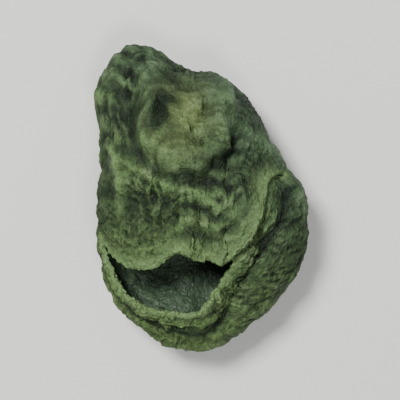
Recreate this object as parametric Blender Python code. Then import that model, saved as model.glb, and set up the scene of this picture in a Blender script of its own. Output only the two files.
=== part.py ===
"""A dried wood ear mushroom: one crumpled piece of leathery tissue, dried into the shape of a purse.

The ear lies on its belly. X is its width and Y its length, with the closed end towards +Y and the
mouth towards -Y and up. Its shape is worked out in millimetres and scaled to metres at the end.
"""
import math

import bmesh
import bpy
import numpy as np
from mathutils import Vector, noise

MM = 0.001

# Driving dimensions, in millimetres. The purse is a full-bodied egg before it is folded.
HALF_WIDTH = 11.3
HALF_LENGTH = 17.0
HALF_HEIGHT = 6.0
FULLNESS = 2.15
WALL = 0.95
RIM_SHARE = 0.62
WALL_REACH = 30.0
FLOOR = -5.8
FLOOR_GRIP = 0.08
# The point of the belly's floor, in plan, that comes under the middle of the finished ear.
FOOT = (0.181, -0.618)

# The mouth is a slit over the top, from the left flank to the right one. Its right end turns back,
# from a share of the half width on, and its left end drops. The two openings are how far the lower
# and the upper lip draw back on the disc, from a share of the way across on.
MOUTH_TILT = math.radians(30)
MOUTH_HALF = math.radians(68)
MOUTH_TURN = math.radians(-52)
MOUTH_TURN_START = 0.16
MOUTH_DROP = math.radians(16)
LOWER_OPENING = 0.165
UPPER_OPENING = 0.062
GAPE_START = 0.27
MOUTH_CORNER = 0.09
MOUTH_SHUT = 0.02
RIM_SPREAD = 0.3

# The outline seen from above: degrees from +X, and millimetres from the middle.
OUTLINE = ((7, 11.0), (32, 9.4), (56, 11.0), (78, 13.0), (97, 13.8), (114, 18.4), (130, 17.2),
           (150, 12.6), (171, 11.0), (201, 11.6), (221, 13.2), (241, 15.2), (256, 16.8),
           (269, 17.0), (283, 16.2), (304, 14.4), (324, 13.4), (348, 12.0))

# Folds of the upper flap: points in plan, the height and width of the soft fold, and the height of
# the sharp crest along it. A height under 0 is a valley.
CREST_WIDTH = 0.55
FOLDS = (
    (((0.6, 16.0), (-3.4, 13.0), (-6.6, 9.6), (-8.6, 6.6), (-11.5, 5.6)), -1.9, 1.7, -0.2),
    (((-6.2, 18.4), (-7.4, 14.6), (-9.6, 10.2), (-10.6, 7.5)), -1.4, 1.6, -0.2),
    (((-3.4, 16.6), (-4.8, 14.4), (-7.4, 11.4)), 0.6, 1.5, 0.5),
    (((1.0, 13.8), (3.2, 12.2), (4.0, 9.4), (3.2, 6.2)), 1.2, 1.4, 0.6),
    (((2.6, 5.4), (5.4, 2.4), (6.6, -2.5)), -0.8, 1.9, -0.15),
    (((4.4, 7.2), (7.4, 4.4), (10.4, 1.6), (11.2, -2.0)), 0.7, 1.5, 0.8),
    (((-9.6, 4.6), (-4.6, 1.6), (0.5, -0.4), (4.6, -2.6)), 0.5, 1.4, 0.6),
    (((-8.5, 1.2), (-4.0, -0.8), (1.0, 1.8), (4.2, 4.4)), -0.45, 1.8, -0.15),
    (((-10.2, 6.6), (-8.2, 2.0), (-8.6, -3.0)), 0.5, 1.5, 0.5),
    (((-9.0, -2.4), (-4.0, -2.8), (1.0, -2.2), (4.0, -3.6)), -0.7, 1.7, -0.15),
    (((-8.8, -4.8), (-5.4, -5.8), (-1.0, -5.4), (2.4, -6.6), (3.8, -8.6)), 1.0, 1.7, 0.4),
)
# Dents where the tissue shrank: the middle of each, its reach, and its depth outwards.
DENTS = (
    ((-4.5, -4.0, -6.0), 5.0, -0.6), ((5.0, 3.0, -6.0), 5.0, -1.2), ((-5.0, 9.5, -5.0), 4.0, -0.7),
    ((3.5, -10.5, -5.0), 4.0, -0.6), ((10.5, 3.0, -2.0), 3.2, -0.9), ((-11.0, 2.0, -1.0), 3.5, -1.4),
    ((3.0, 12.5, -1.0), 3.4, -0.9), ((8.0, -8.0, -3.0), 3.6, -1.0), ((-9.0, -9.0, -3.0), 3.6, 0.8),
    ((-9.5, 13.0, 1.5), 3.0, -1.2), ((-1.0, -15.0, -2.5), 3.6, -0.8), ((-4.1, 9.9, 5.0), 1.9, -1.3),
)

# The knob by which the ear grew on its branch, on the upper flap: a ring round a shallow cup, with a
# pit on the cup's left side. The cup and the pit are placed from the knob's middle.
KNOB = (-1.9, 8.1)
KNOB_ON_DISC = (-0.12, 0.66)
KNOB_RING = 3.7
KNOB_RING_HEIGHT = 1.4
KNOB_CUP, KNOB_CUP_DEPTH = (-1.2, 0.6), 1.0
KNOB_PIT, KNOB_PIT_DEPTH = (-2.1, 1.4), 1.7
KNOB_QUIET = 4.1

# Heights of the folds that follow no drawn line.
CRUMPLE_HEIGHT = 3.2
PLEAT_HEIGHT = 2.6
SOFT_EDGE = 0.15
TOP_SHARE = 0.40
DEEPEST, HIGHEST, BELLY_HIGHEST = -3.2, 2.8, 1.0
CREST_RANGE = (-0.25, 1.8)

# The rim: ruffles, the upper lip's roll inwards, the lower lip's groove and its turned-out edge.
RUFFLE = 0.45
LIP_ROLL = 1.3
LIP_GROOVE = 1.5
LIP_FLARE = 0.6
# Where the mouth is shut, its upper lip laps over the lower one: how far across, how far the two
# are apart, and how far back from the rim they give way.
LAP = 1.2
LAP_LIFT = 0.8
LAP_REACH = 6.0

# Which way the crumples wander.
SEED = 8

# The mesh: squares across the grid, how far the folds and then the wall's directions are smoothed
# in millimetres, and the triangles that are left in the end.
GRID = 96
FOLD_SMOOTHING = 1.0
WALL_SMOOTHING = 2.0
SMOOTHING_PER_CELL = 77.0
TRIANGLES = 9700

HALF = np.array((HALF_WIDTH, HALF_LENGTH, HALF_HEIGHT))
ALL_AXES = {"use_axis_x": True, "use_axis_y": True, "use_axis_z": True}


def ease(t):
    """0 below 0, 1 above 1, and a smooth step between."""
    t = np.clip(t, 0.0, 1.0)
    return t * t * (3 - 2 * t)


def bell(t):
    return np.exp(-t * t)


def start_disc():
    """A square grid, and each point's place on a round disc of radius 1."""
    bm = bmesh.new()
    bmesh.ops.create_grid(bm, x_segments=GRID, y_segments=GRID, size=1)
    x, y, _ = np.array([vert.co for vert in bm.verts]).T
    return bm, x * np.sqrt(1 - y * y / 2), y * np.sqrt(1 - x * x / 2)


def lips(angle):
    """The disc's radius at the rim: 1 is a shut mouth. Angle 0 is its right end."""
    left = 0.5 - 0.5 * np.cos(angle)
    agape = np.abs(np.sin(angle)) ** 1.1 * ease((left - GAPE_START) * 3.2)
    agape *= 1 - 0.6 * ease((left - 0.72) / 0.28)
    torn = 0.012 * np.sin(angle * 11 + 1.0) + 0.010 * np.sin(angle * 19)
    corners = MOUTH_CORNER * bell(np.sin(angle) / 0.40)
    opening = LOWER_OPENING + (UPPER_OPENING - LOWER_OPENING) * ease(np.sin(angle) + 0.5)
    return 1 - MOUTH_SHUT - corners - (opening + torn) * agape


def wrap_round(u, v):
    """Directions from the purse's middle, with the disc wrapped round it and its rim at the mouth.

    The disc is opened on to a plane by w + 1/w, which turns its rim into a slit, and the plane is
    then laid on a ball. The second result is how much the wrapping stretches the disc there.
    """
    across, along, up = np.eye(3)
    forward = up * math.cos(MOUTH_TILT) - along * math.sin(MOUTH_TILT)
    backward = along * math.cos(MOUTH_TILT) + up * math.sin(MOUTH_TILT)
    span = math.tan(MOUTH_HALF / 2)
    rho = np.clip(np.hypot(u, v), 1e-4, 1.0)
    angle = np.arctan2(v, u)
    angle = angle + RIM_SPREAD * np.sin(2 * angle) * rho ** 2
    slope = np.tan(math.pi / 2 * (1 - rho)) / span
    radius = (np.sqrt(slope * slope + 1) - slope) * (1 + (lips(angle) - 1) * rho ** 3)
    w = radius * np.exp(1j * angle)
    plane = (1 / w + w) / 2 * span
    size = np.abs(plane) ** 2
    ball = (np.outer(2 * plane.real, across) - np.outer(2 * plane.imag, backward)
            + np.outer(1 - size, forward)) / (1 + size)[:, None]
    turn = MOUTH_TURN * ease((ball[:, 0] - MOUTH_TURN_START) / (0.95 - MOUTH_TURN_START))
    turn = turn + MOUTH_DROP * ease((-ball[:, 0] - 0.05) / 0.9)
    x, y, z = ball.T
    turned = (x, y * np.cos(turn) - z * np.sin(turn), y * np.sin(turn) + z * np.cos(turn))
    return np.stack(turned, axis=1), np.abs(1 - 1 / w ** 2)


def on_egg(direction):
    reach = (np.abs(direction) ** FULLNESS).sum(axis=1) ** (-1 / FULLNESS)
    return direction * reach[:, None] * HALF


def egg_outward(point):
    outward = np.sign(point) * np.abs(point / HALF) ** (FULLNESS - 1) / HALF
    return outward / np.linalg.norm(outward, axis=1)[:, None]


def drawn_radius(angle):
    """The outline's distance from the middle, on a smooth curve through its points."""
    at, radius = np.array(OUTLINE).T
    at = np.concatenate((at[-2:] - 360, at, at[:2] + 360))
    radius = np.concatenate((radius[-2:], radius, radius[:2]))
    slope = np.gradient(radius, at)
    degrees = np.degrees(angle) % 360
    i = np.searchsorted(at, degrees, side="right") - 1
    step = at[i + 1] - at[i]
    t = (degrees - at[i]) / step
    ahead = ease(t)
    return (radius[i] * (1 - ahead) + radius[i + 1] * ahead
            + step * t * (1 - t) * (slope[i] * (1 - t) - slope[i + 1] * t))


def fit_outline(point):
    """Pushes the egg out or in, in plan, to the drawn outline."""
    angle = np.arctan2(point[:, 1], point[:, 0])
    wide = (np.abs(np.cos(angle)) / HALF_WIDTH) ** FULLNESS
    long = (np.abs(np.sin(angle)) / HALF_LENGTH) ** FULLNESS
    egg_radius = (wide + long) ** (-1 / FULLNESS)
    share = ease(np.hypot(point[:, 0], point[:, 1]) / egg_radius * 1.6)
    push = 1 + (drawn_radius(angle) / egg_radius - 1) * share
    return point * np.stack((push, push, np.ones(len(point))), axis=1)


def upper_flap(point):
    """1 on the upper flap, 0 on the belly."""
    return ease(point[:, 2] / 3.0 + 0.6)


def off_line(plan, line):
    """Each point's distance to a drawn line, and how far along the line it is, from 0 to 1."""
    line = np.array(line)
    lengths = np.linalg.norm(np.diff(line, axis=0), axis=1)
    nearest, along = np.full(len(plan), np.inf), np.zeros(len(plan))
    for start, end, length, before in zip(line, line[1:], lengths, np.cumsum(lengths) - lengths):
        share = np.clip((plan - start) @ (end - start) / length ** 2, 0, 1)
        distance = np.linalg.norm(plan - start - share[:, None] * (end - start), axis=1)
        along = np.where(distance < nearest, (before + share * length) / lengths.sum(), along)
        nearest = np.minimum(nearest, distance)
    return nearest, along


def drawn_folds(point):
    """The soft folds and sharp crests of FOLDS, and the dents."""
    soft, crest = np.zeros(len(point)), np.zeros(len(point))
    for line, height, width, sharp in FOLDS:
        distance, along = off_line(point[:, :2], line)
        fade = upper_flap(point) * (0.4 + 0.6 * np.sin(np.pi * along))
        soft += fade * height / np.cosh(1.5 * distance / width)
        crest += fade * sharp / np.cosh(1.5 * distance / CREST_WIDTH)
    for middle, reach, depth in DENTS:
        soft += depth * bell(np.linalg.norm(point - np.array(middle), axis=1) / reach)
    return soft, crest


def knob(point):
    """The attachment knob, and how far the other folds keep out of it."""
    x, y = point[:, 0] - KNOB[0], (point[:, 1] - KNOB[1]) * 0.9
    away, turn = np.hypot(x, y), np.arctan2(y, x)
    ring = bell((away - KNOB_RING + 0.5 * np.cos(turn - 2.3)) / 0.9) * (0.7 + 0.3 * np.cos(turn + 0.9))
    cup = bell(np.hypot(x - KNOB_CUP[0], (y - KNOB_CUP[1]) * 0.8) / 1.9)
    pit = bell(np.hypot(x - KNOB_PIT[0], y - KNOB_PIT[1]) / 1.1)
    top = upper_flap(point)
    soft = (0.6 * bell(away / 3.4) - 1.1 * bell((away - 5.8) / 1.5)) * top
    soft -= (KNOB_CUP_DEPTH * cup + KNOB_PIT_DEPTH * pit) * top
    crest = ring * (1 - pit) * KNOB_RING_HEIGHT * top
    return soft, crest, 1 - bell(away / KNOB_QUIET) * top


def ridge(value, edge):
    """A rounded ridge where the noise changes sign, with a hollow on either side."""
    return 0.85 * (1 - 1.6 * math.hypot(value, edge)) ** 2 - 0.42


def raised_line(value, width):
    """A sharp line where the noise changes sign."""
    return max(0.0, 1 - abs(value) / width) ** 1.4


def crumples(point):
    """Ridges that wander over the whole ear, as tissue crumples when it dries."""
    def at(place):
        place += noise.noise_vector(place * 0.10 + Vector((3.1, 7.7, 1.3))) * 3.0
        big = noise.noise(place * 0.070 + Vector((11.0, 2.0, 5.0)))
        small = noise.noise(place * 0.15 + Vector((1.0, 9.0, 4.0)))
        return (ridge(big, SOFT_EDGE) * CRUMPLE_HEIGHT + ridge(small, SOFT_EDGE) * 0.45,
                raised_line(big, 0.10) * 0.6 + raised_line(small, 0.12) * 0.35)
    return np.array([at(Vector(place)) for place in point]).T


def pleats(u, v, point):
    """Long pleats that run out from the knob to the rim, over the flap and round the belly."""
    x, y = u - KNOB_ON_DISC[0], v - KNOB_ON_DISC[1]

    def at(place, turn, away):
        turn += noise.noise(Vector(place) * 0.11 + Vector((8, 1, 3))) * 0.6
        ray = Vector((math.cos(turn) * 2.1, math.sin(turn) * 2.1, away * 0.7))
        wide = noise.noise(ray + Vector((4.0, 2.0, 9.0)))
        slim = noise.noise(ray * 2.1 + Vector((1.0, 6.0, 2.0)))
        slight = noise.noise(ray * 4.3 + Vector((7.0, 3.0, 2.0)))
        soft = ridge(wide, SOFT_EDGE) * PLEAT_HEIGHT + ridge(slim, 2 * SOFT_EDGE) * 0.5
        crest = raised_line(wide, 0.08) * 0.7 + raised_line(slim, 0.14) * 0.5
        crest += raised_line(slight, 0.2) * 0.22
        grow = min(1.0, away / 0.5)
        return soft * grow, crest * grow
    return np.array([at(*each) for each in zip(point, np.arctan2(y, x), np.hypot(x, y))]).T


def rim_curl(u, v):
    """Ruffles all round the rim, the upper lip rolled in, and a groove behind the lower lip."""
    rho, angle = np.hypot(u, v), np.arctan2(v, u)
    upper, lower = ease(np.sin(angle) * 3), ease(-np.sin(angle) * 3)
    agape = ease((0.5 - 0.5 * np.cos(angle) - 0.33) * 5)
    curl = ease((rho - 0.74) / 0.26) * RUFFLE * (np.sin(angle * 8 + 0.8) + 0.4 * np.sin(angle * 14 + 2.0))
    curl -= LIP_ROLL * upper * agape * ease((rho - 0.84) / 0.16)
    curl -= LIP_GROOVE * lower * bell((rho - 0.86) / 0.06)
    curl += LIP_FLARE * lower * ease((rho - 0.90) / 0.10)
    return curl * np.sin(angle) ** 2


def lap_over(u, v, point, outward):
    """Shifts of the two lips where the mouth is shut, so that the upper one laps over the lower one."""
    angle = np.arctan2(v, u)
    shut = 1 - ease((0.5 - 0.5 * np.cos(angle) - 0.22) / 0.20)
    other = fit_outline(on_egg(wrap_round(u, -v)[0])) - point
    gap = np.linalg.norm(other, axis=1)
    upper = np.tanh(v / 0.12)
    share = shut * bell(gap / LAP_REACH) * ease(np.abs(np.sin(angle)) / 0.6)
    across = other / np.maximum(gap, 0.3)[:, None] * (LAP * share * np.maximum(upper, 0))[:, None]
    return across + outward * (LAP_LIFT * share * upper)[:, None]


def middle_of_wall(u, v):
    """The middle of the folded wall, and how far its sharp crests stand out of it."""
    direction, stretch = wrap_round(u, v)
    egg = on_egg(direction)
    outward = egg_outward(egg)
    point = fit_outline(egg)
    top = 1 - TOP_SHARE * upper_flap(point)
    soft, crest, quiet = knob(point)
    pleated = top * ease(stretch / 1.9)
    for (add_soft, add_crest), share in ((drawn_folds(point), 1.0), (crumples(point), top),
                                         (pleats(u, v, point), pleated)):
        soft += add_soft * share * quiet
        crest += add_crest * share * quiet
    soft += rim_curl(u, v) * ease(stretch / 1.4) ** 2
    highest = BELLY_HIGHEST + (HIGHEST - BELLY_HIGHEST) * ease(point[:, 2] / 4 + 0.9)
    soft = np.clip(soft, DEEPEST, highest)
    soft = np.where(soft < 0, soft * (0.40 + 0.60 * np.abs(outward[:, 2])), soft)
    point = point + outward * soft[:, None] + lap_over(u, v, point, outward)
    point[:, 2] = np.maximum(point[:, 2], FLOOR + WALL / 2)
    return point, np.clip(crest, *CREST_RANGE)


def smooth(bm, length):
    """Smooths the sheet over a length in millimetres, whatever the grid."""
    for _ in range(max(1, round((length * GRID / SMOOTHING_PER_CELL) ** 2))):
        bmesh.ops.smooth_vert(bm, verts=bm.verts, factor=0.5, **ALL_AXES)


def give_wall(bm, u, v, crest):
    """Turns the sheet into a wall: an outer skin with the crests, an inner one, and a round rim."""
    smooth(bm, FOLD_SMOOTHING)
    middle = np.array([vert.co for vert in bm.verts])
    smooth(bm, WALL_SMOOTHING)
    bm.normal_update()
    outward = np.array([vert.normal for vert in bm.verts])
    from_rim = (1 - np.hypot(u, v)) * WALL_REACH
    half = WALL / 2 * (RIM_SHARE + (1 - RIM_SHARE) * ease(from_rim / 5))
    half *= np.sqrt(1 - (1 - np.clip(from_rim / (WALL / 2), 0, 1)) ** 2)
    outer = middle + outward * (half + crest * ease(from_rim / 2.5))[:, None]
    inner = middle - outward * half[:, None]
    copy = bmesh.ops.duplicate(bm, geom=bm.verts[:] + bm.edges[:] + bm.faces[:])["geom"]
    bmesh.ops.reverse_faces(bm, faces=[face for face in copy if isinstance(face, bmesh.types.BMFace)])
    places = np.concatenate((outer, inner))
    places[:, 2] = np.maximum(places[:, 2], FLOOR)
    for vert, place in zip(bm.verts, places):
        vert.co = place
    bmesh.ops.remove_doubles(bm, verts=bm.verts, dist=WALL * 1e-5)


def thinned_out(ear):
    """The ear's mesh with its flat stretches in fewer triangles."""
    decimate = ear.modifiers.new("fewer triangles", "DECIMATE")
    decimate.ratio = TRIANGLES / (4 * GRID * GRID)
    evaluated = ear.evaluated_get(bpy.context.evaluated_depsgraph_get())
    mesh = bpy.data.meshes.new_from_object(evaluated)
    ear.modifiers.clear()
    return mesh


def lay_down(bm):
    """Flattens the belly where it rests, puts the origin at the foot, and scales to metres."""
    for vert in bm.verts:
        if vert.co.z < FLOOR + FLOOR_GRIP:
            vert.co.z = FLOOR
    bmesh.ops.translate(bm, verts=bm.verts, vec=(-FOOT[0], -FOOT[1], -FLOOR))
    bmesh.ops.scale(bm, verts=bm.verts, vec=(MM, MM, MM))


def dried_tissue():
    """Leathery dried tissue, dull olive grey."""
    material = bpy.data.materials.new("dried_tissue")
    material.use_nodes = True
    shader = material.node_tree.nodes["Principled BSDF"]
    shader.inputs["Base Color"].default_value = (0.075, 0.105, 0.058, 1.0)
    shader.inputs["Roughness"].default_value = 0.8
    shader.inputs["Metallic"].default_value = 0.0
    return material


for leftover in list(bpy.data.objects):
    bpy.data.objects.remove(leftover)
noise.seed_set(SEED)

sheet, disc_u, disc_v = start_disc()
places, crests = middle_of_wall(disc_u, disc_v)
for corner, place in zip(sheet.verts, places):
    corner.co = place
bmesh.ops.reverse_faces(sheet, faces=sheet.faces)
give_wall(sheet, disc_u, disc_v, crests)

ear_mesh = bpy.data.meshes.new("wood_ear")
sheet.to_mesh(ear_mesh)
wood_ear = bpy.data.objects.new("wood_ear", ear_mesh)
bpy.context.scene.collection.objects.link(wood_ear)
wood_ear.data = thinned_out(wood_ear)

sheet.clear()
sheet.from_mesh(wood_ear.data)
lay_down(sheet)
sheet.to_mesh(wood_ear.data)
sheet.free()
wood_ear.data.shade_smooth()
wood_ear.data.materials.append(dried_tissue())
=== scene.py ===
"""The look of one dried wood ear mushroom: its crumpled wall in full detail, its finish, and a studio."""
import math

import bmesh
import bpy
import numpy as np
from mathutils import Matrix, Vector, noise


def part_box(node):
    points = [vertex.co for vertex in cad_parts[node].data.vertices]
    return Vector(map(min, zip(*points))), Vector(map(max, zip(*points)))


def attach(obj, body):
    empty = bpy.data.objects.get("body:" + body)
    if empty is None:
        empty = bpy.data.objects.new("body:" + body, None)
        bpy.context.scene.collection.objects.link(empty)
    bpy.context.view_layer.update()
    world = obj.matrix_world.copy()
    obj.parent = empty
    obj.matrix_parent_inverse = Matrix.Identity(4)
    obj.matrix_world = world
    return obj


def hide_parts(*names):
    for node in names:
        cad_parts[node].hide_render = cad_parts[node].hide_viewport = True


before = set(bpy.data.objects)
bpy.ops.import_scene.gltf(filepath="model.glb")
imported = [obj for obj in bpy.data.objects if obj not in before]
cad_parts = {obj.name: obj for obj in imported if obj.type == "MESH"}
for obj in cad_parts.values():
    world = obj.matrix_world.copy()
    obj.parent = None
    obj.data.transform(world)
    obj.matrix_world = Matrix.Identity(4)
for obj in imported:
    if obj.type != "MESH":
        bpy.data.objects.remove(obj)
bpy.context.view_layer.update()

# ---------------------------------------------------------------- camera
# A long lens looks straight down on the ear, with its knob towards the top of the picture.
view = bpy.data.cameras.new("view")
view.lens = 135
view.sensor_width = 36
view.clip_start = 0.01
camera = bpy.data.objects.new("camera", view)
camera.location = (0.0, 0.0, 0.170)
bpy.context.scene.collection.objects.link(camera)
bpy.context.scene.camera = camera

# ---------------------------------------------------------------- the ear: the purse
# A wood ear is one sheet of jelly-like tissue that dries into a stiff, horny wall about a
# millimetre thick. This one dried shut into a purse, with its mouth at the lower end. The sheet
# is a grid, rounded to a disc and wrapped round an egg. Its sizes are in millimetres.
GRID = 216                                # cells along each side of the sheet
HALF = np.array((11.3, 17.0, 6.0))        # half of the egg's width, length and height
FULLNESS = 2.15                           # 2 is an ellipsoid, and more is fuller
FLOOR = -5.8                              # the height of the ground under it
FOOT = (0.181, -0.618)                    # the point in plan that stands on the part's origin
MOUTH_TILT = math.radians(30)             # how far the mouth leans from straight up
MOUTH_HALF = math.radians(68)             # from the mouth's middle to its ends
MOUTH_TURN = math.radians(-52)            # how far its right end turns up along the side
MOUTH_DROP = math.radians(16)             # how far its left end drops
SHUT_SHARE = 0.27                         # how much of the mouth is shut, from its right end
# The outline from above: an angle in degrees, from the right, and the distance from the middle.
OUTLINE = ((3, 10.9), (20, 9.2), (36, 8.8), (56, 10.9), (78, 13.0), (97, 13.8), (114, 18.4), (130, 17.2),
           (150, 12.6), (171, 11.0), (201, 11.6), (221, 13.2), (241, 15.2), (256, 16.8),
           (269, 17.0), (283, 16.2), (304, 14.4), (324, 13.4), (348, 12.0))


def ease(t):
    """0 below 0, 1 above 1, and a smooth step between."""
    t = np.clip(t, 0.0, 1.0)
    return t * t * (3 - 2 * t)


def bell(t):
    """1 at 0, and falling away smoothly on both sides."""
    return np.exp(-t * t)


def lips(angle):
    """The disc's radius at the rim: 1 is a shut mouth. Angle 0 is its right end."""
    left = 0.5 - 0.5 * np.cos(angle)
    agape = np.abs(np.sin(angle)) ** 1.1 * ease((left - SHUT_SHARE) * 3.2)
    agape *= 1 - 0.6 * ease((left - 0.72) / 0.28)
    torn = 0.012 * np.sin(angle * 11 + 1.0) + 0.010 * np.sin(angle * 19)
    corners = 0.09 * bell(np.sin(angle) / 0.40)
    opening = 0.165 - 0.103 * ease(np.sin(angle) + 0.5)
    return 0.98 - corners - (opening + torn) * agape


def wrap_round(disc_x, disc_y):
    """Directions from the purse's middle, with the disc wrapped round it and its rim at the mouth.

    Also how much the wrapping stretches the disc at each point.
    """
    across, along, up = np.eye(3)
    forward = up * math.cos(MOUTH_TILT) - along * math.sin(MOUTH_TILT)
    backward = along * math.cos(MOUTH_TILT) + up * math.sin(MOUTH_TILT)
    span = math.tan(MOUTH_HALF / 2)
    from_middle = np.clip(np.hypot(disc_x, disc_y), 1e-4, 1.0)
    angle = np.arctan2(disc_y, disc_x)
    angle = angle + 0.3 * np.sin(2 * angle) * from_middle ** 2
    slope = np.tan(math.pi / 2 * (1 - from_middle)) / span
    radius = (np.sqrt(slope * slope + 1) - slope) * (1 + (lips(angle) - 1) * from_middle ** 3)
    rolled = radius * np.exp(1j * angle)
    plane = (1 / rolled + rolled) / 2 * span
    size = np.abs(plane) ** 2
    ball = (np.outer(2 * plane.real, across) - np.outer(2 * plane.imag, backward)
            + np.outer(1 - size, forward)) / (1 + size)[:, None]
    turn = MOUTH_TURN * ease((ball[:, 0] - 0.16) / 0.79) + MOUTH_DROP * ease((-ball[:, 0] - 0.05) / 0.9)
    x, y, z = ball.T
    turned = (x, y * np.cos(turn) - z * np.sin(turn), y * np.sin(turn) + z * np.cos(turn))
    return np.stack(turned, axis=1), np.abs(1 - 1 / rolled ** 2)


def on_egg(direction):
    """The point of the egg's surface that lies in each direction."""
    reach = (np.abs(direction) ** FULLNESS).sum(axis=1) ** (-1 / FULLNESS)
    return direction * reach[:, None] * HALF


def egg_outward(point):
    """The way out of the egg at each point of its surface."""
    outward = np.sign(point) * np.abs(point / HALF) ** (FULLNESS - 1) / HALF
    return outward / np.linalg.norm(outward, axis=1)[:, None]


def drawn_radius(angle):
    """The outline's distance from the middle, on a smooth curve through its points."""
    at, radius = np.array(OUTLINE).T
    at = np.concatenate((at[-2:] - 360, at, at[:2] + 360))
    radius = np.concatenate((radius[-2:], radius, radius[:2]))
    slope = np.gradient(radius, at)
    degrees = np.degrees(angle) % 360
    i = np.searchsorted(at, degrees, side="right") - 1
    step = at[i + 1] - at[i]
    t = (degrees - at[i]) / step
    ahead = ease(t)
    return (radius[i] * (1 - ahead) + radius[i + 1] * ahead
            + step * t * (1 - t) * (slope[i] * (1 - t) - slope[i + 1] * t))


def fit_outline(point):
    """Pushes the egg out or in, in plan, to the drawn outline."""
    angle = np.arctan2(point[:, 1], point[:, 0])
    wide = (np.abs(np.cos(angle)) / HALF[0]) ** FULLNESS
    long = (np.abs(np.sin(angle)) / HALF[1]) ** FULLNESS
    egg_radius = (wide + long) ** (-1 / FULLNESS)
    share = ease(np.hypot(point[:, 0], point[:, 1]) / egg_radius * 1.6)
    push = 1 + (drawn_radius(angle) / egg_radius - 1) * share
    return point * np.stack((push, push, np.ones(len(point))), axis=1)


noise.seed_set(8)
sheet = bmesh.new()
bmesh.ops.create_grid(sheet, x_segments=GRID, y_segments=GRID, size=1)
x, y, _ = np.array([vert.co for vert in sheet.verts]).T
disc_x = x * np.sqrt(1 - y * y / 2)
disc_y = y * np.sqrt(1 - x * x / 2)
direction, stretch = wrap_round(disc_x, disc_y)
egg = on_egg(direction)
outward = egg_outward(egg)
purse = fit_outline(egg)

# ---------------------------------------------------------------- the ear: folds and knob
# As the tissue loses its water it shrinks into big soft folds with sharp crests, and pleats run out
# from the knob by which the ear grew on its branch. The flap above the mouth has its own folds.
# A fold is a line of points in plan, how high it swells, how wide it is, and how high its crest is.
FOLDS = (
    (((0.6, 16.0), (-3.4, 13.0), (-6.6, 9.6), (-8.6, 6.6), (-11.5, 5.6)), -1.9, 1.7, -0.2),
    (((-6.2, 18.4), (-7.4, 14.6), (-9.6, 10.2), (-10.6, 7.5)), -1.1, 1.6, -0.1),
    (((-3.4, 16.6), (-4.8, 14.4), (-7.4, 11.4)), 0.6, 1.5, 0.5),
    (((0.9, 13.6), (2.7, 12.2), (3.3, 9.5), (2.8, 6.6)), 1.2, 1.4, 0.6),
    (((2.6, 5.4), (5.4, 2.4), (6.6, -2.5)), -0.6, 1.9, -0.15),
    (((4.4, 7.2), (7.4, 4.4), (10.4, 1.6), (11.2, -2.0)), 0.7, 1.5, 0.8),
    (((-9.6, 4.6), (-4.6, 1.6), (0.5, -0.4), (4.6, -2.6)), 0.5, 1.4, 0.6),
    (((-8.5, 1.2), (-4.0, -0.8), (1.0, 1.8), (4.2, 4.4)), -0.45, 1.8, -0.15),
    (((-10.2, 6.6), (-8.2, 2.0), (-8.6, -3.0)), 0.5, 1.5, 0.5),
    (((-9.0, -2.4), (-4.0, -2.8), (1.0, -2.2), (4.0, -3.6)), -0.7, 1.7, -0.15),
    (((-8.8, -4.8), (-5.4, -5.8), (-1.0, -5.4), (2.4, -6.6), (3.8, -8.6)), 1.0, 1.7, 0.4),
)
CREST_WIDTH = 0.55
# A dent is its middle, how far it reaches, and how far the wall stands in there, or out above 0.
DENTS = (
    ((-4.5, -4.0, -6.0), 5.0, -0.6), ((5.0, 3.0, -6.0), 5.0, -1.2), ((-5.0, 9.5, -5.0), 4.0, -0.7),
    ((3.5, -10.5, -5.0), 4.0, -0.6), ((10.5, 3.0, -2.0), 3.2, -0.9), ((-11.0, 2.0, -1.0), 3.5, -1.4),
    ((3.0, 12.5, -1.0), 3.4, -0.9), ((8.0, -8.0, -3.0), 3.6, -1.0), ((-9.0, -9.0, -3.0), 3.6, 0.8),
    ((-9.5, 13.0, 1.5), 3.0, -1.2), ((-1.0, -15.0, -2.5), 3.6, -0.8), ((-4.1, 9.9, 5.0), 1.9, -1.3),
)
KNOB = (-1.9, 8.1)
KNOB_RADIUS = 4.2
KNOB_ON_DISC = (-0.12, 0.66)


def upper_flap(point):
    """1 on the upper flap, 0 on the belly."""
    return ease(point[:, 2] / 3.0 + 0.6)


def off_line(plan, line):
    """Each point's distance to a drawn line, and how far along the line it is, from 0 to 1."""
    line = np.array(line)
    lengths = np.linalg.norm(np.diff(line, axis=0), axis=1)
    nearest = np.full(len(plan), np.inf)
    along = np.zeros(len(plan))
    for start, end, length, before in zip(line, line[1:], lengths, np.cumsum(lengths) - lengths):
        share = np.clip((plan - start) @ (end - start) / length ** 2, 0, 1)
        distance = np.linalg.norm(plan - start - share[:, None] * (end - start), axis=1)
        along = np.where(distance < nearest, (before + share * length) / lengths.sum(), along)
        nearest = np.minimum(nearest, distance)
    return nearest, along


def drawn_folds(point):
    """How far the soft folds and the dents move each point, and how high the sharp crests are there."""
    soft = np.zeros(len(point))
    crest = np.zeros(len(point))
    for line, height, width, sharp in FOLDS:
        distance, along = off_line(point[:, :2], line)
        fade = upper_flap(point) * (0.4 + 0.6 * np.sin(np.pi * along))
        soft += fade * height / np.cosh(1.5 * distance / width)
        crest += fade * sharp / np.cosh(1.5 * distance / CREST_WIDTH)
    for middle, reach, depth in DENTS:
        soft += depth * bell(np.linalg.norm(point - np.array(middle), axis=1) / reach)
    return soft, crest


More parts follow.
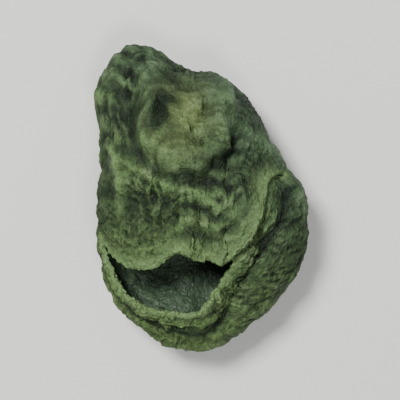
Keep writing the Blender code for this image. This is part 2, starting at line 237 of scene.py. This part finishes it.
def knob(point):
    """The attachment knob: its swelling, its coils, how far other folds keep out of it, and its painted
    shade and light.

    It has a ring round it, a cup with a pit on its left, a groove under it, and a small hole at its lower
    right. Painted shade darkens the pit, the groove and the hole, and painted light pales the cup's
    middle. Two slow noises make the ring and the coils wander.
    """
    x = point[:, 0] - KNOB[0]
    y = (point[:, 1] - KNOB[1]) * 0.9
    away, turn = np.hypot(x, y), np.arctan2(y, x)
    wander = np.array([noise.noise(Vector(place) * 0.45) for place in point])
    swirl = np.array([noise.noise(Vector(place) * 0.30 + Vector((6, 2, 8))) for place in point])
    top = upper_flap(point)

    winding = (away + wander * 1.0 - 3.1) / 2.5 + ((2.3 - turn) % (2 * np.pi) + swirl * 1.4) / (2 * np.pi)
    coil = 1 - bell((np.abs((winding + 0.5) % 1.0 - 0.5)) / 0.13)
    ring = bell((away - 4.1 + 0.45 * np.cos(turn - 2.6) - wander) / 0.75)
    ring = ring * (0.7 + 0.3 * np.cos(turn + 0.9))
    cup = bell(np.hypot(x + 1.2, (y - 0.5) * 0.8) / 1.9)
    pit = bell(np.hypot(x + 2.2, y - 0.9) / 0.8) + 0.35 * bell(np.hypot(x + 2.8, y + 0.8) / 0.7)
    lit_middle = bell(np.hypot(x - 1.3, y) / 1.8)
    under = bell((away - 5.45 + 0.4 * wander) / 0.45) * ease(-np.sin(turn + 0.35) * 1.6)
    hole = bell(np.hypot(x - 5.0, y + 3.2) / 0.8)

    swelling = 0.6 * bell(away / KNOB_RADIUS) - 0.4 * bell((away - 6.3) / 1.2)
    soft = (swelling - 1.0 * cup - 1.7 * pit - 0.5 * under - hole) * top
    coil_height = coil * 0.45 * bell((away / 4.4) ** 3) * (1 - cup)
    coils = (ring * 1.2 + coil_height) * (1 - np.clip(pit, 0, 1)) * top
    quiet = 1 - bell(away / KNOB_RADIUS) * top
    # Painted shade in the pit, the groove and the hole, less painted light on the cup's middle.
    knob_shade_and_light = (0.7 * pit + 0.2 * under + 0.5 * hole - 0.25 * lit_middle) * top
    return soft, coils, quiet, knob_shade_and_light


def ridge(value, edge):
    """A rounded ridge where the noise changes sign, with a hollow on either side."""
    return 0.85 * (1 - 1.6 * math.hypot(value, edge)) ** 2 - 0.42


def raised_line(value, width):
    """A sharp line where the noise changes sign."""
    return max(0.0, 1 - abs(value) / width) ** 1.4


def crumples(point):
    """Ridges that wander over the whole ear: their height, and that of the lines on them."""
    def at(place):
        place += noise.noise_vector(place * 0.10 + Vector((3.1, 7.7, 1.3))) * 3.0
        big = noise.noise(place * 0.070 + Vector((11.0, 2.0, 5.0)))
        small = noise.noise(place * 0.15 + Vector((1.0, 9.0, 4.0)))
        soft = ridge(big, 0.15) * 3.2 + ridge(small, 0.15) * 0.45
        crest = raised_line(big, 0.10) * 0.6 + raised_line(small, 0.12) * 0.35
        return soft, crest
    return np.array([at(Vector(place)) for place in point]).T


def pleats(disc_x, disc_y, point):
    """Long pleats from the knob to the rim, over the flap and round the belly, and the lines on them."""
    x = disc_x - KNOB_ON_DISC[0]
    y = disc_y - KNOB_ON_DISC[1]

    def at(place, turn, away):
        turn += noise.noise(Vector(place) * 0.11 + Vector((8, 1, 3))) * 0.6
        ray = Vector((math.cos(turn) * 2.1, math.sin(turn) * 2.1, away * 0.7))
        wide = noise.noise(ray + Vector((4.0, 2.0, 9.0)))
        slim = noise.noise(ray * 2.1 + Vector((1.0, 6.0, 2.0)))
        slight = noise.noise(ray * 4.3 + Vector((7.0, 3.0, 2.0)))
        soft = ridge(wide, 0.15) * 2.6 + ridge(slim, 0.30) * 0.5
        crest = raised_line(wide, 0.08) * 0.7 + raised_line(slim, 0.14) * 0.5
        crest += raised_line(slight, 0.2) * 0.22
        grow = min(1.0, away / 0.5)
        return soft * grow, crest * grow
    return np.array([at(*each) for each in zip(point, np.arctan2(y, x), np.hypot(x, y))]).T


def rim_curl(disc_x, disc_y):
    """Ruffles all round the rim, the upper lip rolled in, and a groove behind the lower lip."""
    from_middle, angle = np.hypot(disc_x, disc_y), np.arctan2(disc_y, disc_x)
    upper, lower = ease(np.sin(angle) * 3), ease(-np.sin(angle) * 3)
    agape = ease((0.5 - 0.5 * np.cos(angle) - 0.33) * 5)
    ruffle = np.sin(angle * 8 + 0.8) + 0.4 * np.sin(angle * 14 + 2.0)
    curl = ease((from_middle - 0.74) / 0.26) * 0.45 * ruffle
    curl -= 1.3 * upper * agape * ease((from_middle - 0.84) / 0.16)
    curl -= 1.5 * lower * bell((from_middle - 0.86) / 0.06)
    curl += 0.6 * lower * ease((from_middle - 0.90) / 0.10)
    return curl * np.sin(angle) ** 2


def lap_over(disc_x, disc_y, point, outward):
    """Shifts of the two lips where the mouth is shut, so that the upper one laps over the lower one."""
    angle = np.arctan2(disc_y, disc_x)
    shut = 1 - ease((0.5 - 0.5 * np.cos(angle) - 0.22) / 0.20)
    other = fit_outline(on_egg(wrap_round(disc_x, -disc_y)[0])) - point
    gap = np.linalg.norm(other, axis=1)
    upper = np.tanh(disc_y / 0.12)
    share = shut * bell(gap / 6.0) * ease(np.abs(np.sin(angle)) / 0.6)
    across = other / np.maximum(gap, 0.3)[:, None] * (1.2 * share * np.maximum(upper, 0))[:, None]
    return across + outward * (0.8 * share * upper)[:, None]


knob_soft, coils, quiet, knob_shade_and_light = knob(purse)
drawn_soft, drawn = drawn_folds(purse)
crumpled, crumple_lines = crumples(purse)
pleated, pleat_lines = pleats(disc_x, disc_y, purse)
crumple_share = 1 - 0.40 * upper_flap(purse)
pleat_share = crumple_share * ease(stretch / 1.9)
drawn = drawn * quiet
lines = crumple_lines * crumple_share * quiet
lines += pleat_lines * pleat_share * quiet
soft = knob_soft + drawn_soft * quiet
soft += crumpled * crumple_share * quiet
soft += pleated * pleat_share * quiet
soft += rim_curl(disc_x, disc_y) * ease(stretch / 1.4) ** 2
soft = np.clip(soft, -3.2, 1.0 + 1.8 * ease(purse[:, 2] / 4 + 0.9))
soft = np.where(soft < 0, soft * (0.40 + 0.60 * np.abs(outward[:, 2])), soft)
folded = purse + outward * soft[:, None] + lap_over(disc_x, disc_y, purse, outward)

# ---------------------------------------------------------------- the ear: wrinkles
# The skin shrinks less than the flesh under it, so it has too much length and buckles: first into
# lumps about 5 mm across, then into wrinkles on them of about 2.6 mm and 1.3 mm.
# A level is its cells along each side, its wave's length, the skin's extra length, and the rounds.
LEVELS = ((54, 5.0, 0.13, 250), (108, 2.6, 0.16, 250), (216, 1.3, 0.09, 200))
WALL = 0.95                               # how thick the wall is
SHEET_LENGTH = 77.0                       # from one side of the wrapped sheet to the other
# Neighbouring points, as slices of the grid: along a row, along a column, and on both diagonals.
ALL, BUT_LAST, BUT_FIRST = slice(None), slice(None, -1), slice(1, None)
PAIRS = (((ALL, BUT_LAST), (ALL, BUT_FIRST)), ((BUT_LAST, ALL), (BUT_FIRST, ALL)),
         ((BUT_LAST, BUT_LAST), (BUT_FIRST, BUT_FIRST)), ((BUT_LAST, BUT_FIRST), (BUT_FIRST, BUT_LAST)))


def smooth(shape, length):
    """Smooths the sheet over a length in millimetres."""
    for _ in range(max(1, round((length * GRID / SHEET_LENGTH) ** 2))):
        bmesh.ops.smooth_vert(shape, verts=shape.verts, factor=0.5,
                              use_axis_x=True, use_axis_y=True, use_axis_z=True)


def bend_of(grid):
    """How far each point is from the middle of its four neighbours."""
    wide = np.pad(grid, ((1, 1), (1, 1), (0, 0)), mode="reflect", reflect_type="odd")
    return (wide[:-2, 1:-1] + wide[2:, 1:-1] + wide[1:-1, :-2] + wide[1:-1, 2:]) / 4 - grid


def noise_on(grid, scale, offset):
    """A noise at each point of a grid."""
    values = [noise.noise(Vector(place) * scale + Vector(offset)) for place in grid.reshape(-1, 3)]
    return np.array(values).reshape(grid.shape[:2])


def shrink(base, wave, growth, rounds):
    """Lets the skin of a grid grow by a share of its length, while the flesh holds it near its place.

    How firmly it holds sets the length of the wrinkles' waves. Gives how far each point moves.
    """
    along_x, along_y = np.gradient(base, axis=1), np.gradient(base, axis=0)
    out = np.cross(along_y, along_x)
    out /= np.linalg.norm(out, axis=2, keepdims=True)
    size = (np.linalg.norm(along_x, axis=2) + np.linalg.norm(along_y, axis=2))[..., None] / 2
    bending = 0.01
    hold = np.clip(bending * (2 * np.pi * size / wave) ** 4, 1e-4, 0.5)
    hold_aside = np.maximum(hold, 0.05)
    rest = [np.linalg.norm(base[b] - base[a], axis=2) * (1 + (growth[a] + growth[b]) / 2) for a, b in PAIRS]
    base_bend = bend_of(base)
    skin = base + out * noise_on(base, 2.2 / wave, (1, 5, 2))[..., None] * wave * 0.05
    for _ in range(rounds):
        push = np.zeros_like(skin)
        for (a, b), length in zip(PAIRS, rest):
            edge = skin[b] - skin[a]
            now = np.linalg.norm(edge, axis=2)
            half_gap = edge * ((now - length) / np.maximum(now, 1e-6) / 2)[..., None]
            push[a] += half_gap
            push[b] -= half_gap
        skin += push * 0.3
        skin -= bending * bend_of(bend_of(skin) - base_bend)
        back = base - skin
        upright = (back * out).sum(axis=2, keepdims=True) * out
        skin += upright * hold + (back - upright) * hold_aside
    moved = skin - base
    upright = (moved * out).sum(axis=2, keepdims=True)
    aside = moved - upright * out
    aside *= np.minimum(1, 0.05 * wave / np.maximum(np.linalg.norm(aside, axis=2, keepdims=True), 1e-6))
    most = 0.12 * wave
    return aside - np.tanh(upright / most) * most * out


def finer(grid, step):
    """A coarse grid's values on the full grid, along smooth curves."""
    for axis in (0, 1):
        last = grid.shape[axis] - 1
        place = np.linspace(0, last, last * step + 1)
        i = np.minimum(place.astype(int), last - 1)
        t = (place - i).reshape((-1, 1, 1) if axis == 0 else (1, -1, 1))
        margins = [(1, 1) if n == axis else (0, 0) for n in range(3)]
        wide = np.pad(grid, margins, mode="reflect", reflect_type="odd")
        before, here, after, beyond = (np.take(wide, i + n, axis=axis) for n in range(4))
        grid = here + (after - before) * t / 2 + (before - 2.5 * here + 2 * after - beyond / 2) * t ** 2 + (
            1.5 * (here - after) + (beyond - before) / 2) * t ** 3
    return grid


folded[:, 2] = np.maximum(folded[:, 2], FLOOR + WALL / 2)
for vert, place in zip(sheet.verts, folded):
    vert.co = place
bmesh.ops.reverse_faces(sheet, faces=sheet.faces)
smooth(sheet, 1.0)
plain = np.array([vert.co for vert in sheet.verts]).reshape(GRID + 1, GRID + 1, 3)
near_rim = ease((np.hypot(disc_x, disc_y) - 0.8) / 0.2).reshape(GRID + 1, GRID + 1)

# The wrinkles are a little weaker on the knob, and about half as strong on the right flank.
calm_flank = 0.45 * ease((purse[:, 0] - 5.5) / 3) * upper_flap(purse)
strength = (1 - 0.1 * (1 - quiet) - calm_flank).reshape(GRID + 1, GRID + 1)
shift = np.zeros_like(plain)
for cells, wave, growth, rounds in LEVELS:
    step = GRID // cells
    base = (plain + shift)[::step, ::step]
    patchy = growth * np.clip(1 + noise_on(base, 0.2, (9, 2, 4)), 0.3, 2.0)
    ruffled = 0.08 * near_rim[::step, ::step]
    shift = shift + finer(shrink(base, wave, (patchy + ruffled) * strength[::step, ::step], rounds), step)
middle = (plain + shift).reshape(-1, 3)

# ---------------------------------------------------------------- the ear: wall
# The wall is about a millimetre thick and thins to a rounded edge all round the mouth. The sharp
# crests and the knob's coils stand on its outside only.
DISC_LENGTH = 30.0                        # from the disc's middle to its rim, about
PRESSED = 0.6                             # how far inside the part's box the pressing starts
MILLIMETRE = 0.001

for vert, place in zip(sheet.verts, middle):
    vert.co = place
smooth(sheet, 0.8)
calm = np.array([vert.co for vert in sheet.verts])
smooth(sheet, 2.4)
sheet.normal_update()
outward = np.array([vert.normal for vert in sheet.verts])
high = ((middle - calm) * outward).sum(axis=1)
fold_light_and_shade = ((calm - np.array([vert.co for vert in sheet.verts])) * outward).sum(axis=1)
from_rim = (1 - np.hypot(disc_x, disc_y)) * DISC_LENGTH
half = WALL / 2 * (0.62 + 0.38 * ease(from_rim / 5))
half *= np.sqrt(1 - (1 - np.clip(from_rim / (WALL / 2), 0, 1)) ** 2)
skin = np.clip((lines * 0.25 + drawn * 0.8 + coils + high * 0.6) * ease(from_rim / 2.5), -0.3, 1.5)
places = np.concatenate((middle + outward * (half + skin)[:, None], middle - outward * half[:, None]))
copy = bmesh.ops.duplicate(sheet, geom=sheet.verts[:] + sheet.edges[:] + sheet.faces[:])["geom"]
bmesh.ops.reverse_faces(sheet, faces=[face for face in copy if isinstance(face, bmesh.types.BMFace)])

# Lumps that would pass the part's box are pressed back softly, and the sheet goes to its place.
low, high_end = np.array(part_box("wood_ear")) * 1000 + (FOOT[0], FOOT[1], FLOOR)
too_high = high_end - PRESSED + PRESSED * np.tanh((places - high_end + PRESSED) / PRESSED)
places = np.where(places > high_end - PRESSED, too_high, places)
too_low = low + PRESSED - PRESSED * np.tanh((low + PRESSED - places) / PRESSED)
places = np.where(places < low + PRESSED, too_low, places)
for vert, place in zip(sheet.verts, (places - (FOOT[0], FOOT[1], FLOOR)) * MILLIMETRE):
    vert.co = place

# What the finish reads at each point: which side it is on, how near the rim and the knob, how high
# on a wrinkle, and how high on a fold; the last two carry painted light and shade. Painted shade
# darkens the flank and the left side, and painted light makes the lobe and the flap's middle paler.
# A patch is its middle in plan, how far it reaches, and how much paler it is.
LIT_AND_SHADED_PATCHES = (((10.0, -2.0), 4.5, -0.13), ((-10.0, 0.0), 4.5, -0.22),
         ((-7.2, 13.2), 4.0, 0.13), ((-1.4, 0.6), 4.0, 0.09))
from_middle, angle = np.hypot(disc_x, disc_y), np.arctan2(disc_y, disc_x)
# Painted shade in the groove behind the lower lip, and painted light on the lip band before it.
lip_shade_and_light = 0.5 * bell((from_middle - 0.875) / 0.022) - 0.25 * bell((from_middle - 0.93) / 0.035)
lower_lip_shade_and_light = ease(-np.sin(angle) * 3) * lip_shade_and_light
lit_and_shaded = sum(amount * bell(np.hypot(purse[:, 0] - across, purse[:, 1] - along) / reach)
           for (across, along), reach, amount in LIT_AND_SHADED_PATCHES)
on_knob = (1 - quiet) ** 2 * (1 - np.clip(1.4 * knob_shade_and_light, 0, 1))
# Wrinkles: painted shade in their grooves, and wear with some painted highlight on their crests.
wrinkle_shade_and_wear = high * 1.6 + (skin - coils * 0.8) * 0.4
# Painted light and shade for the big folds, the knob's ring, pit, hole and groove, the drawn crests, the
# lower lip and the patches.
outside_light_and_shade = fold_light_and_shade + (coils - 0.7) * (1 - quiet) * 0.5 - knob_shade_and_light * 1.4 + drawn * 0.5 - lower_lip_shade_and_light + lit_and_shaded
values = {
    "outside": np.repeat((1.0, 0.0), len(middle)),
    "at_rim": np.tile(bell(from_rim / 1.3), 2),
    "at_knob": np.tile(on_knob, 2),
    "relief_shade_and_wear": np.concatenate((wrinkle_shade_and_wear, -high)),
    "fold_light_and_shade": np.concatenate((outside_light_and_shade, -fold_light_and_shade)),
}
layers = {name: sheet.verts.layers.float.new(name) for name in values}
for name, layer in layers.items():
    for vert, value in zip(sheet.verts, values[name]):
        vert[layer] = value
bmesh.ops.remove_doubles(sheet, verts=sheet.verts, dist=1e-8)

ear_mesh = bpy.data.meshes.new("dried_ear")
sheet.to_mesh(ear_mesh)
sheet.free()
ear_mesh.shade_smooth()
ear = bpy.data.objects.new("dried_ear", ear_mesh)
bpy.context.scene.collection.objects.link(ear)
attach(ear, "root")
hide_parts("wood_ear")

# ---------------------------------------------------------------- the ear: finish
# Air-dried Auricularia tissue: a dull, faintly velvety green-grey outside with pale worn ridges and
# dark grooves, a darker, smoother inside, and a thin paler margin. Painted shade darkens the grooves
# and the folds' hollows; painted light pales the folds' tops and the margin, and adds to the ridges' wear.
# Painted shade at the bottom of a wrinkle, and wear with painted highlight at its top; the same inside.
GROOVE_SHADE, CREST_WEAR_AND_HIGHLIGHT = "111E13", "6B855D"        # the bottom and the top of a wrinkle outside
INNER_GROOVE_SHADE, INNER_CREST_LIGHT = "27362C", "4F6249"
DARKENED = "3C4F35"                       # patches that dried darker
DUST_AND_GLINT = "9CA894"                           # pale dust on the crests, also painted glints
LOWER_LEFT_TINT, UPPER_RIGHT_TINT = "FBFBD2", "ABB1B8"     # tints, from the lower left to the upper right
SCAR = "717F4A"                           # the knob's yellower back
MARGIN_LIGHT = "6C8654"                         # the thin rim, paler with painted light coming through it
VELVET = "A9B98C"                         # the tint of its faint sheen
# The patterns' widths in millimetres. The tissue's real hairs and pores are finer than 0.1 mm, so
# the grain and the crinkles are drawn as coarse as the picture needs to show them.
BLOTCHES, GLINT_AND_DUST_WIDTH, MOTTLE, CRINKLES, GRAIN = 3.85, 2.38, 1.11, 0.77, 0.3125
BUMP_HEIGHT = 0.00022


def linear(hex_colour):
    """An sRGB hex colour as linear red, green, blue and alpha."""
    channels = [int(hex_colour[i:i + 2], 16) / 255 for i in (0, 2, 4)]
    return tuple(c / 12.92 if c <= 0.04045 else ((c + 0.055) / 1.055) ** 2.4 for c in channels) + (1.0,)


def add(kind, inputs=(), out=0, **settings):
    """Adds a node with its settings, and its inputs as values or as links, and gives one output."""
    made = tree.nodes.new(kind)
    for name, value in settings.items():
        setattr(made, name, value)
    for name, value in dict(inputs).items():
        if isinstance(value, bpy.types.NodeSocket):
            tree.links.new(value, made.inputs[name])
        else:
            made.inputs[name].default_value = value
    return made.outputs[out]


tissue = bpy.data.materials.new("dried_tissue_finish")
tissue.use_nodes = True
tree = tissue.node_tree
shader = tree.nodes["Principled BSDF"]
spot = add("ShaderNodeTexCoord", out="Object")
side = add("ShaderNodeAttribute", out="Fac", attribute_name="outside")
rim = add("ShaderNodeAttribute", out="Fac", attribute_name="at_rim")
knob_near = add("ShaderNodeAttribute", out="Fac", attribute_name="at_knob")
relief_shade_and_wear = add("ShaderNodeAttribute", out="Fac", attribute_name="relief_shade_and_wear")
folds = add("ShaderNodeAttribute", out="Fac", attribute_name="fold_light_and_shade")
slanted = add("ShaderNodeVectorMath", {0: spot, 1: (0.8, 1.0, 0.0)}, out=1, operation="DOT_PRODUCT")
blotches = add("ShaderNodeTexNoise",
               {"Vector": spot, "Scale": 1000 / BLOTCHES, "Detail": 4.0, "Roughness": 0.6})
mottle = add("ShaderNodeTexNoise",
             {"Vector": spot, "Scale": 1000 / MOTTLE, "Detail": 3.0, "Roughness": 0.6})
grain = add("ShaderNodeTexNoise",
            {"Vector": spot, "Scale": 1000 / GRAIN, "Detail": 3.0, "Roughness": 0.6})

# The outside: painted shade in the grooves, and pale crests that are worn and carry painted highlight,
# with darker patches, and pale dust that also stands for painted glints.
wobble = add("ShaderNodeMath", {0: mottle, 1: 0.30, 2: -0.15}, operation="MULTIPLY_ADD")
level = add("ShaderNodeMath", {0: relief_shade_and_wear, 1: wobble}, operation="ADD")
up = add("ShaderNodeMapRange",
         {"Value": level, "From Min": -0.18, "From Max": 0.30}, interpolation_type="SMOOTHSTEP")
outer = add("ShaderNodeMix", {0: up, 6: linear(GROOVE_SHADE), 7: linear(CREST_WEAR_AND_HIGHLIGHT)}, out=2, data_type="RGBA")
patch = add("ShaderNodeMapRange",
            {"Value": blotches, "From Min": 0.40, "From Max": 0.68}, interpolation_type="SMOOTHSTEP")
patch = add("ShaderNodeMath", {0: patch, 1: 0.6}, operation="MULTIPLY")
outer = add("ShaderNodeMix", {0: patch, 6: outer, 7: linear(DARKENED)}, out=2, data_type="RGBA")
glint_and_dust_patches = add("ShaderNodeTexNoise",
            {"Vector": spot, "Scale": 1000 / GLINT_AND_DUST_WIDTH, "Detail": 2.0, "Roughness": 0.5})
glint_and_dust_patches = add("ShaderNodeMapRange",
            {"Value": glint_and_dust_patches, "From Min": 0.48, "From Max": 0.64}, interpolation_type="SMOOTHSTEP")
# Pale dust on the crest tops, in patches; it also stands for painted glints.
dust_and_glint = add("ShaderNodeMapRange", {"Value": level, "From Min": 0.0, "From Max": 0.45, "To Max": 0.5})
dust_and_glint = add("ShaderNodeMath", {0: dust_and_glint, 1: glint_and_dust_patches}, operation="MULTIPLY")
outer = add("ShaderNodeMix", {0: dust_and_glint, 6: outer, 7: linear(DUST_AND_GLINT)}, out=2, data_type="RGBA")

# The whole outside is yellower towards the lower left and greyer towards the upper right, the knob
# is yellower, and painted light makes the big folds paler on their tops while painted shade darkens
# their hollows.
slanted_tint = add("ShaderNodeMapRange", {"Value": slanted, "From Min": -0.016, "From Max": 0.014})
slanted_tint = add("ShaderNodeMix", {0: slanted_tint, 6: linear(LOWER_LEFT_TINT), 7: linear(UPPER_RIGHT_TINT)}, out=2, data_type="RGBA")
outer = add("ShaderNodeMix", {0: 1.0, 6: outer, 7: slanted_tint}, out=2, data_type="RGBA", blend_type="MULTIPLY")
scar = add("ShaderNodeMath", {0: knob_near, 1: 0.55}, operation="MULTIPLY")
outer = add("ShaderNodeMix", {0: scar, 6: outer, 7: linear(SCAR)}, out=2, data_type="RGBA")
painted_light_and_shade = add("ShaderNodeMapRange", {"Value": folds, "From Min": -0.34, "From Max": 0.38})
painted_light_and_shade = add("ShaderNodeVectorMath",
            {0: painted_light_and_shade, 1: (1.22, 1.16, 1.10), 2: (0.13, 0.20, 0.18)}, operation="MULTIPLY_ADD")
outer = add("ShaderNodeMix", {0: 1.0, 6: outer, 7: painted_light_and_shade}, out=2, data_type="RGBA", blend_type="MULTIPLY")

# The inside, with painted shade in its grooves and painted light on its crests, the margin, paler with
# painted light, and a fine speckle over both sides.
dark = add("ShaderNodeMapRange", {"Value": level, "From Min": -0.3, "From Max": 0.3})
inner = add("ShaderNodeMix",
            {0: dark, 6: linear(INNER_GROOVE_SHADE), 7: linear(INNER_CREST_LIGHT)}, out=2, data_type="RGBA")
colour = add("ShaderNodeMix", {0: side, 6: inner, 7: outer}, out=2, data_type="RGBA")
# The margin is paler: painted light, as if light came through the thin rim.
edge = add("ShaderNodeMath", {0: rim, 1: 0.70}, operation="MULTIPLY")
colour = add("ShaderNodeMix", {0: edge, 6: colour, 7: linear(MARGIN_LIGHT)}, out=2, data_type="RGBA")
speck = add("ShaderNodeMapRange",
            {"Value": grain, "From Min": 0.3, "From Max": 0.7, "To Min": 0.72, "To Max": 1.25})
speck = add("ShaderNodeCombineColor", {0: speck, 1: speck, 2: speck})
colour = add("ShaderNodeMix", {0: 1.0, 6: colour, 7: speck}, out=2, data_type="RGBA", blend_type="MULTIPLY")
rough = add("ShaderNodeMapRange", {"Value": side, "To Min": 0.46, "To Max": 0.68})

# Creases and pores that are too fine for the mesh.
crinkle = add("ShaderNodeTexNoise", {"Vector": spot, "Scale": 1000 / CRINKLES, "Detail": 2.0,
                                     "Roughness": 0.55, "Distortion": 0.4})
crinkle = add("ShaderNodeMath", {0: crinkle, 1: 0.5}, operation="SUBTRACT")
crinkle = add("ShaderNodeMath", {0: crinkle}, operation="ABSOLUTE")
pores = add("ShaderNodeMath", {0: grain, 1: 0.35, 2: mottle}, operation="MULTIPLY_ADD")
pores = add("ShaderNodeMath", {0: crinkle, 1: -3.0, 2: pores}, operation="MULTIPLY_ADD")
bump = add("ShaderNodeBump", {"Height": pores, "Strength": 0.9, "Distance": BUMP_HEIGHT})
tree.links.new(colour, shader.inputs["Base Color"])
tree.links.new(rough, shader.inputs["Roughness"])
tree.links.new(bump, shader.inputs["Normal"])
shader.inputs["IOR"].default_value = 1.45
shader.inputs["Specular IOR Level"].default_value = 0.30
shader.inputs["Sheen Weight"].default_value = 0.03
shader.inputs["Sheen Roughness"].default_value = 0.5
shader.inputs["Sheen Tint"].default_value = linear(VELVET)
ear_mesh.materials.append(tissue)

# ---------------------------------------------------------------- floor and light
# A pale matt paper floor, a soft lamp above the ear and a little to its upper left, and a weaker
# one from its lower right.
floor_shape = bmesh.new()
bmesh.ops.create_grid(floor_shape, x_segments=1, y_segments=1, size=1.5)
floor_mesh = bpy.data.meshes.new("floor")
floor_shape.to_mesh(floor_mesh)
floor_shape.free()
floor = bpy.data.objects.new("floor", floor_mesh)
bpy.context.scene.collection.objects.link(floor)
paper = bpy.data.materials.new("studio_paper")
paper.use_nodes = True
paper.node_tree.nodes["Principled BSDF"].inputs["Base Color"].default_value = linear("DFDFDB")
paper.node_tree.nodes["Principled BSDF"].inputs["Roughness"].default_value = 0.9
floor_mesh.materials.append(paper)


def lamp(name, place, size, power):
    """A square soft lamp aimed at the ear."""
    light = bpy.data.lights.new(name, "AREA")
    light.size = size
    light.energy = power
    made = bpy.data.objects.new(name, light)
    made.location = place
    made.rotation_euler = Vector(place).to_track_quat("Z", "Y").to_euler()
    bpy.context.scene.collection.objects.link(made)


lamp("key", (-0.14, 0.15, 0.41), 0.12, 2.8)
lamp("front", (0.06, -0.18, 0.40), 0.10, 0.7)
world = bpy.data.worlds.new("studio")
bpy.context.scene.world = world
world.use_nodes = True
world.node_tree.nodes["Background"].inputs["Color"].default_value = linear("EEF0F2")
world.node_tree.nodes["Background"].inputs["Strength"].default_value = 0.30
